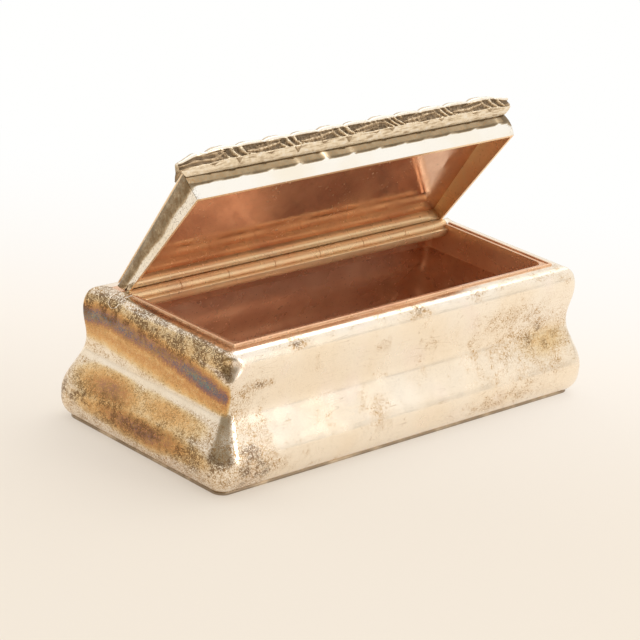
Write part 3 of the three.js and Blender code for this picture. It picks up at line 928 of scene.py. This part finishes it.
class Nodes:
    """Short calls for building the node tree of a material or of the surroundings."""

    def __init__(self, owner, shader):
        owner.use_nodes = True
        self.owner = owner
        self.tree = owner.node_tree
        self.shader = self.tree.nodes[shader]
        self.coordinates = self.add("TexCoord").outputs

    def add(self, kind, **settings):
        """A node with its settings; keys that name an input set it or link it."""
        node = self.tree.nodes.new("ShaderNode" + kind)
        for key, value in settings.items():
            if hasattr(node, key):
                setattr(node, key, value)
            else:
                self.put(node.inputs[key.replace("_", " ")], value)
        return node

    def put(self, socket, value):
        """Links a socket to an output, or sets its own value. A colour is opaque."""
        if isinstance(value, bpy.types.NodeSocket):
            self.tree.links.new(value, socket)
        elif socket.type == "RGBA":
            socket.default_value = (*value, 1)
        else:
            socket.default_value = value

    def shade(self, name, value):
        """Sets or links an input of the shader."""
        self.put(self.shader.inputs[name], value)

    def field(self, name):
        """A number kept at each point of the mesh."""
        return self.add("Attribute", attribute_name=name).outputs["Fac"]

    def along(self, place, direction):
        """How far a place lies along a direction."""
        node = self.add("VectorMath", operation="DOT_PRODUCT")
        self.put(node.inputs[0], place)
        self.put(node.inputs[1], direction)
        return node.outputs["Value"]

    def math(self, operation, a, b=0.0, clamped=False):
        """One arithmetic step."""
        node = self.add("Math", operation=operation, use_clamp=clamped)
        self.put(node.inputs[0], a)
        self.put(node.inputs[1], b)
        return node.outputs[0]

    def times(self, a, b):
        """The product of two values."""
        return self.math("MULTIPLY", a, b)

    def around(self, value, spread):
        """A field around 0.5, brought to lie around 0 with another spread."""
        return self.times(self.math("SUBTRACT", value, 0.5), spread)

    def noise(self, scale, detail=2.0, rough=0.5, warp=0.0, place=None):
        """A noise field around 0.5. Its scale is per metre."""
        place = self.coordinates["Object"] if place is None else place
        return self.add(
            "TexNoise", Vector=place, Scale=scale, Detail=detail, Roughness=rough,
            Distortion=warp).outputs["Fac"]

    def band(self, value, low, high, from_value=0.0, to_value=1.0):
        """A smooth step of a value between two limits."""
        return self.add(
            "MapRange", interpolation_type="SMOOTHSTEP", Value=value, From_Min=low,
            From_Max=high, To_Min=from_value, To_Max=to_value).outputs["Result"]

    def patches(self, scale, low, high, from_value=0.0, to_value=1.0, detail=2.0, rough=0.5):
        """Soft patches, where a noise field passes from one level to another."""
        return self.band(self.noise(scale, detail, rough), low, high, from_value, to_value)

    def blend(self, share, a, b):
        """Two colours mixed by a share."""
        node = self.add("Mix", data_type="RGBA")
        self.put(node.inputs["Factor"], share)
        self.put(node.inputs[6], a)
        self.put(node.inputs[7], b)
        return node.outputs[2]

    def ramp(self, value, stops):
        """Colours along a value, from (place, colour) stops."""
        node = self.add("ValToRGB", Fac=value)
        band = node.color_ramp
        while len(band.elements) < len(stops):
            band.elements.new(0.5)
        for element, (place, colour) in zip(band.elements, stops):
            element.position = place
            element.color = (*colour, 1)
        return node.outputs["Color"]

    def off_middle(self, scale, detail, rough, warp, **mapping):
        """How far a shifted noise field is from its middle, so 0 along contour lines."""
        moved = self.add("Mapping", Vector=self.coordinates["Object"], **mapping)
        value = self.noise(scale, detail, rough, warp, moved.outputs["Vector"])
        return self.math("ABSOLUTE", self.math("SUBTRACT", value, 0.5))

    def worms(self, scale, seed, width):
        """Short squiggly strokes: thin contour lines of a noise field. width may be linked."""
        away = self.off_middle(scale, 1.5, 0.55, 0.9, Location=(seed, seed * 0.7, seed * 0.3))
        line = self.math("DIVIDE", away, self.math("MAXIMUM", width, 0.0005))
        return self.math("SUBTRACT", 1.0, line, clamped=True)

    def scratches(self, scale, seed, turn):
        """Straight hairlines that run one way, broken up along their length."""
        away = self.off_middle(
            scale, 0.0, 0.5, 0.1, Location=(seed, -seed, seed * 2), Rotation=turn,
            Scale=(0.07, 1.0, 1.0))
        gaps = self.patches(scale * 0.22, 0.56, 0.62, detail=1.0)
        return self.times(self.band(away, 0.0, 0.012, 1.0, 0.0), gaps)

    def hairlines(self, first, second):
        """Two runs of scratches, each given as (scale, seed, turn)."""
        return self.math("MAXIMUM", self.scratches(*first), self.scratches(*second))

    def relief(self, height, strength, distance):
        """Bumps the surface by a height field."""
        node = self.add("Bump", Height=height, Strength=strength, Distance=distance)
        self.shade("Normal", node.outputs["Normal"])


SILVER = (0.985, 0.895, 0.765)
SILVER_WARM = (0.975, 0.855, 0.69)
SILVER_PINK = (0.965, 0.845, 0.745)
LID_BRIGHT = (0.99, 0.95, 0.87)
LID_WARM = (0.97, 0.89, 0.75)
TARNISH = (0.5, 0.3, 0.12)
TARNISH_DEEP = (0.2, 0.11, 0.045)
EDGE_DULL = (0.36, 0.28, 0.2)
EDGE_RUBBED = (0.68, 0.55, 0.4)
GILT_RED = (0.58, 0.27, 0.17)
PIT_BROWN = (0.25, 0.13, 0.07)
DUST = (0.95, 0.75, 0.5)
SCRATCH = (0.95, 0.72, 0.5)
WIRE_LIGHT = (0.5, 0.46, 0.4)
WIRE_DARK = (0.3, 0.26, 0.2)

# Colours by the thickness of the film, which on the lid's front paints the border's reflection too,
# and on the border by painted shade, which follows how deep a place lies and leaves the rim bright as
# a painted highlight
FILM_COLOURS = [
    (0.0, (0.95, 0.84, 0.67)), (0.18, (0.88, 0.68, 0.4)), (0.34, (0.8, 0.48, 0.2)),
    (0.48, (0.6, 0.29, 0.11)), (0.62, (0.38, 0.19, 0.13)), (0.75, (0.27, 0.155, 0.17)),
    (0.87, (0.16, 0.16, 0.21)), (1.0, (0.15, 0.26, 0.27)),
]
LID_FILM_COLOURS = [
    (0.0, (0.95, 0.86, 0.7)), (0.2, (0.52, 0.41, 0.27)), (0.36, (0.22, 0.165, 0.1)),
    (0.6, (0.1, 0.075, 0.042)),
]
CAST_COLOURS = [
    (0.0, (1.0, 0.94, 0.83)), (0.2, (0.9, 0.74, 0.52)), (0.4, (0.52, 0.38, 0.23)),
    (0.66, (0.27, 0.185, 0.105)), (1.0, (0.12, 0.085, 0.05)),
]


def surface(name, metallic=1.0):
    """The nodes of a new material."""
    n = Nodes(bpy.data.materials.new(name), "Principled BSDF")
    n.shade("Metallic", metallic)
    return n


def silver_metal(name, has_fields):
    """Worn silver: warm tints, squiggly tarnish strokes, a coloured film and hairlines."""
    n = surface(name)
    colour = n.blend(n.patches(70.0, 0.38, 0.66), SILVER, SILVER_WARM)
    colour = n.blend(n.patches(110.0, 0.56, 0.72, 0.0, 0.55, detail=1.0), colour, SILVER_PINK)
    if has_fields:
        stroke_amount, tint_here = n.field("stroke_density"), n.field("film")
        rubbed = n.worms(2500.0, 1.3, n.band(tint_here, 0.3, 0.75, 0.012, 0.085))
        thick = n.math("ADD", tint_here, n.around(n.noise(900.0, 3.0, 0.65), 0.3))
        coat = n.ramp(n.math("SUBTRACT", thick, n.times(rubbed, 0.24)), FILM_COLOURS)
        colour = n.blend(n.band(tint_here, 0.06, 0.22), colour, coat)
    else:
        stroke_amount = n.patches(90.0, 0.5, 0.75, 0.06, 0.4)
    patchy = n.patches(420.0, 0.34, 0.62, 0.55, 1.15, rough=0.6)
    dense = n.math("MULTIPLY", stroke_amount, patchy, clamped=True)
    share = tarnish_strokes(n, dense)
    deep = n.blend(n.band(dense, 0.45, 1.0), TARNISH, TARNISH_DEEP)
    hair = n.hairlines((900.0, 0.2, (0.2, 0.9, 0.6)), (1100.0, 0.5, (1.2, -0.4, 0.3)))
    colour = n.blend(share, colour, deep)
    n.shade("Base Color", n.blend(n.times(hair, 0.35), colour, TARNISH))
    haze = n.patches(220.0, 0.35, 0.75, 0.16, 0.3, detail=3.0, rough=0.6)
    n.shade("Roughness", n.math("ADD", haze, n.times(share, 0.22)))
    cut = n.math("ADD", n.times(share, 0.12), n.times(hair, 0.25))
    n.relief(n.math("SUBTRACT", n.times(n.noise(500.0), 0.5), cut), 0.2, 0.00006)
    return n.owner


def tarnish_strokes(n, dense):
    """Coarse and fine strokes of tarnish, wider and stronger where they lie dense."""
    width = n.times(dense, 0.1)
    coarse = n.worms(1900.0, 0.31, width)
    fine = n.worms(3300.0, 0.77, n.times(width, 0.9))
    strokes = n.math("MAXIMUM", coarse, n.times(fine, 0.75), clamped=True)
    return n.times(n.band(strokes, 0.14, 0.5), n.band(dense, 0.02, 0.4, 0.3, 0.9))


def tarnished_edge():
    """The base's thin edge: dull grey-brown, bright where it has been rubbed."""
    n = surface("base_edge")
    rub = n.patches(160.0, 0.45, 0.7, detail=3.0, rough=0.6)
    n.shade("Base Color", n.blend(rub, EDGE_DULL, EDGE_RUBBED))
    n.shade("Roughness", n.band(rub, 0.0, 1.0, 0.42, 0.28))
    n.relief(n.noise(700.0), 0.3, 0.00005)
    return n.owner


def polished_silver():
    """The lid's silver: bright, with little tarnish, so that it mirrors the border over it; on the
    lid's front its strokes and film also paint a reflection of the border.
    """
    n = surface("lid_silver")
    stroke_amount, tint_here = n.field("stroke_density"), n.field("film")
    colour = n.blend(n.patches(90.0, 0.4, 0.7), LID_BRIGHT, LID_WARM)
    thick = n.math("ADD", tint_here, n.around(n.noise(700.0, 3.0, 0.6), 0.3))
    colour = n.blend(n.band(tint_here, 0.06, 0.2), colour, n.ramp(thick, LID_FILM_COLOURS))
    strokes = n.band(n.worms(1900.0, 0.4, n.times(stroke_amount, 0.08)), 0.1, 0.7, 0.0, 0.7)
    n.shade("Base Color", n.blend(strokes, colour, TARNISH_DEEP))
    n.shade("Roughness", n.patches(260.0, 0.4, 0.7, 0.07, 0.16))
    n.relief(n.noise(320.0, 1.0), 0.12, 0.00006)
    return n.owner


def cast_metal():
    """Cast silver with painted shade and highlight: dark in its hollows, bright on the rim and on
    every raised edge.
    """
    n = surface("cast_silver")
    grain = n.noise(1300.0, 3.0, 0.6)
    # Painted shade from the border's points, with the metal's own grain.
    dark = n.math("ADD", n.field("shade_and_streaks"), n.around(grain, 0.5))
    n.shade("Base Color", n.ramp(dark, CAST_COLOURS))
    n.shade("Roughness", n.band(dark, 0.1, 0.8, 0.22, 0.42))
    n.shade("Metallic", n.band(n.field("satin"), 0.0, 1.0, 0.55, 0.1))
    n.relief(grain, 0.25, 0.00008)
    return n.owner


def gilt_metal(name, bright, dull, dirt, haze, metallic):
    """Rubbed gilt silver: brown haze over coppery gold, hairlines, pits and pale dust."""
    n = surface(name, metallic)
    colour = n.blend(n.patches(130.0, 0.36, 0.68, detail=3.0, rough=0.6), bright, dull)
    colour = n.blend(n.patches(80.0, 0.55, 0.75, 0.0, 0.35, detail=1.0), colour, GILT_RED)
    pits = n.patches(2600.0, 0.73, 0.79, detail=0.0)
    specks = n.patches(2100.0, 0.72, 0.78, detail=0.0)
    dust = n.times(specks, n.patches(210.0, 0.5, 0.66, detail=1.0))
    hair = n.hairlines((1000.0, 0.1, (0.5, 0.5, 1.1)), (800.0, 0.9, (0.1, 1.4, 0.2)))
    colour = n.blend(n.times(pits, dirt), colour, PIT_BROWN)
    colour = n.blend(n.times(dust, 0.7), colour, DUST)
    n.shade("Base Color", n.blend(n.times(hair, 0.3), colour, SCRATCH))
    hazy = n.patches(180.0, 0.35, 0.7, haze, haze + 0.16, detail=3.0)
    n.shade("Roughness", n.math("ADD", hazy, n.times(dust, 0.4)))
    n.relief(n.noise(260.0), 0.14, 0.0001)
    return n.owner


def wire_metal():
    """Drawn wire with fine lines round it."""
    n = surface("hinge_wire")
    lines = n.noise(3000.0)
    n.shade("Base Color", n.blend(lines, WIRE_LIGHT, WIRE_DARK))
    n.shade("Roughness", n.band(lines, 0.3, 0.7, 0.3, 0.5))
    return n.owner


# Camera: its place and turn were fitted to the photograph in units of 37.5 mm
CAMERA_UNIT = 37.5 * MM
CAMERA_YAW = 0.79745
CAMERA_PITCH = 0.36229
CAMERA_ROLL = 0.09892
CAMERA_DISTANCE = 12.44465 * CAMERA_UNIT
CAMERA_SHIFT_X = 0.02978 * CAMERA_UNIT
CAMERA_SHIFT_Y = -0.38152 * CAMERA_UNIT
CAMERA_LENS = 151.04

# Surroundings: near-white, with a dim open room turned a little from the camera's back
ROOM_TURN = 0.3
SKY_LOW = (0.94, 0.895, 0.835)
SKY_HIGH = (1.0, 0.985, 0.965)
ROOM_COLOUR = (0.27, 0.225, 0.16)
HORIZON_COLOUR = (0.3, 0.26, 0.22)

# Paper floor, in metres, with its colours from the front to far behind the box
FLOOR_REACH = 4.0
PAPER_COLOURS = [(0.0, (0.86, 0.79, 0.69)), (0.55, (0.92, 0.87, 0.8)), (1.0, (0.93, 0.92, 0.9))]
PAPER_GLOW = [(0.0, (0.95, 0.86, 0.75)), (0.5, (1.02, 0.95, 0.87)), (1.0, (1.0, 1.0, 0.99))]

# Lamps: place, width and height in metres, and power in watts
LAMPS = [((0.17, -0.47, 0.15), 0.16, 0.24, 0.36), ((0.5, 0.1, 0.9), 0.6, 0.6, 1.6)]
LAMP_COLOUR = (1, 0.98, 0.95)
LAMP_AIM = Vector((0, 0, 0.02))


def surroundings():
    """Bright plain surroundings, dimmer behind the camera, where the room is open."""
    n = Nodes(bpy.data.worlds.new("studio"), "Background")
    bpy.context.scene.world = n.owner
    direction = n.coordinates["Generated"]
    side = CAMERA_YAW + ROOM_TURN
    near = n.band(n.along(direction, (-math.sin(side), -math.cos(side), 0)), 0.3, 0.65)
    up = n.add("SeparateXYZ", Vector=direction).outputs["Z"]
    room = n.times(near, n.band(up, 0.6, 0.72, 1.0, 0.0))
    horizon = n.times(n.band(up, 0.02, 0.09, 1.0, 0.0), n.band(up, -0.05, 0.0))
    colour = n.blend(n.band(up, 0.1, 0.6), SKY_LOW, SKY_HIGH)
    colour = n.blend(room, colour, ROOM_COLOUR)
    n.shade("Color", n.blend(n.times(horizon, 0.45), colour, HORIZON_COLOUR))
    n.shade("Strength", 1.0)


def paper():
    """Pale paper, cream near the box and white far behind it. It glows as painted light, partly near
    the box, which softens the box's shadow there, and fully far behind it.
    """
    n = surface("floor_paper", 0.0)
    n.shade("Roughness", 0.9)
    n.shade("Specular IOR Level", 0.1)
    away = (math.sin(CAMERA_YAW), math.cos(CAMERA_YAW), 0)
    depth = n.along(n.coordinates["Object"], away)
    n.shade("Base Color", n.ramp(n.band(depth, -0.06, 0.12), PAPER_COLOURS))
    glow = n.add("Emission", Color=n.ramp(n.band(depth, -0.08, 0.13), PAPER_GLOW), Strength=1.0)
    mix = n.add("MixShader")
    n.put(mix.inputs[0], n.band(depth, -0.06, 0.14, 0.42, 1.0))
    n.put(mix.inputs[1], n.shader.outputs["BSDF"])
    n.put(mix.inputs[2], glow.outputs["Emission"])
    n.put(n.tree.nodes["Material Output"].inputs["Surface"], mix.outputs["Shader"])
    return n.owner


def floor():
    """Wide square of paper that the box stands on."""
    mesh = bpy.data.meshes.new("floor")
    corners = [(x * FLOOR_REACH, y * FLOOR_REACH, 0) for x, y in ((-1, -1), (1, -1), (1, 1), (-1, 1))]
    mesh.from_pydata(corners, [], [(0, 1, 2, 3)])
    mesh.materials.append(paper())
    sheet = bpy.data.objects.new("floor", mesh)
    bpy.context.collection.objects.link(sheet)


def lamp(place, width, height, power):
    """A soft rectangular lamp that faces the box."""
    data = bpy.data.lights.new("lamp", "AREA")
    data.shape = "RECTANGLE"
    data.size = width
    data.size_y = height
    data.energy = power
    data.color = LAMP_COLOUR
    holder = bpy.data.objects.new("lamp", data)
    holder.location = place
    aim = LAMP_AIM - Vector(place)
    holder.rotation_euler = aim.to_track_quat("-Z", "Y").to_euler()
    bpy.context.collection.objects.link(holder)


def camera():
    """Camera at the photograph's viewing angle, found from the box's own edges."""
    yaw, pitch, roll = CAMERA_YAW, CAMERA_PITCH, CAMERA_ROLL
    forward = Vector((
        math.sin(yaw) * math.cos(pitch), math.cos(yaw) * math.cos(pitch), -math.sin(pitch)))
    level = Vector((math.cos(yaw), -math.sin(yaw), 0))
    upright = level.cross(forward)
    right = math.cos(roll) * level + math.sin(roll) * upright
    up = math.cos(roll) * upright - math.sin(roll) * level
    place = -forward * CAMERA_DISTANCE - right * CAMERA_SHIFT_X - up * CAMERA_SHIFT_Y
    data = bpy.data.cameras.new("camera")
    data.sensor_width = 36
    data.lens = CAMERA_LENS
    data.clip_start, data.clip_end = 0.01, 20
    eye = bpy.data.objects.new("camera", data)
    axes = Matrix((right, up, -forward)).transposed().to_4x4()
    eye.matrix_world = Matrix.Translation(place) @ axes
    bpy.context.collection.objects.link(eye)
    bpy.context.scene.camera = eye


def studio():
    """Surroundings, floor, lamps and camera."""
    bpy.context.scene.view_settings.view_transform = "Standard"
    surroundings()
    floor()
    for row in LAMPS:
        lamp(*row)
    camera()


def main():
    """Every piece of the box and the lid with its material, then the studio."""
    silver = silver_metal("worn_silver", True)
    plain = silver_metal("silver", False)
    bright = polished_silver()
    cast = cast_metal()
    gilt = gilt_metal(
        "gilt", (0.89, 0.57, 0.36), (0.78, 0.46, 0.28), dirt=0.35, haze=0.17, metallic=0.66)
    mirror = gilt_metal(
        "gilt_mirror", (0.8, 0.47, 0.28), (0.66, 0.36, 0.21), dirt=0.35, haze=0.07, metallic=0.76)
    # Gilt for the hinge, the lid's rear wall and the lid walls' inside, its colour raised to full as
    # painted light that lifts these shaded parts.
    brightened_gilt = gilt_metal(
        "gilt_brightened", (1.0, 0.74, 0.42), (1.0, 0.66, 0.36), dirt=0.3, haze=0.2, metallic=0.4)
    inside = gilt_metal(
        "gilt_inside", (0.93, 0.6, 0.4), (0.8, 0.48, 0.31), dirt=0.4, haze=0.22, metallic=0.5)
    edge = tarnished_edge()
    wire = wire_metal()
    body_shell(silver, inside)
    bezel_ring(gilt)
    base_plate(plain, inside, edge)
    hinge_bearer(brightened_gilt)
    knuckles(brightened_gilt)
    plugs(silver)
    lid_walls(bright, brightened_gilt)
    lid_plate(plain, mirror)
    lid_rear(brightened_gilt)
    thumb_border(cast)
    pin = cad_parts["hinge_pin"]
    pin.data.materials.clear()
    pin.data.materials.append(wire)
    studio()


main()
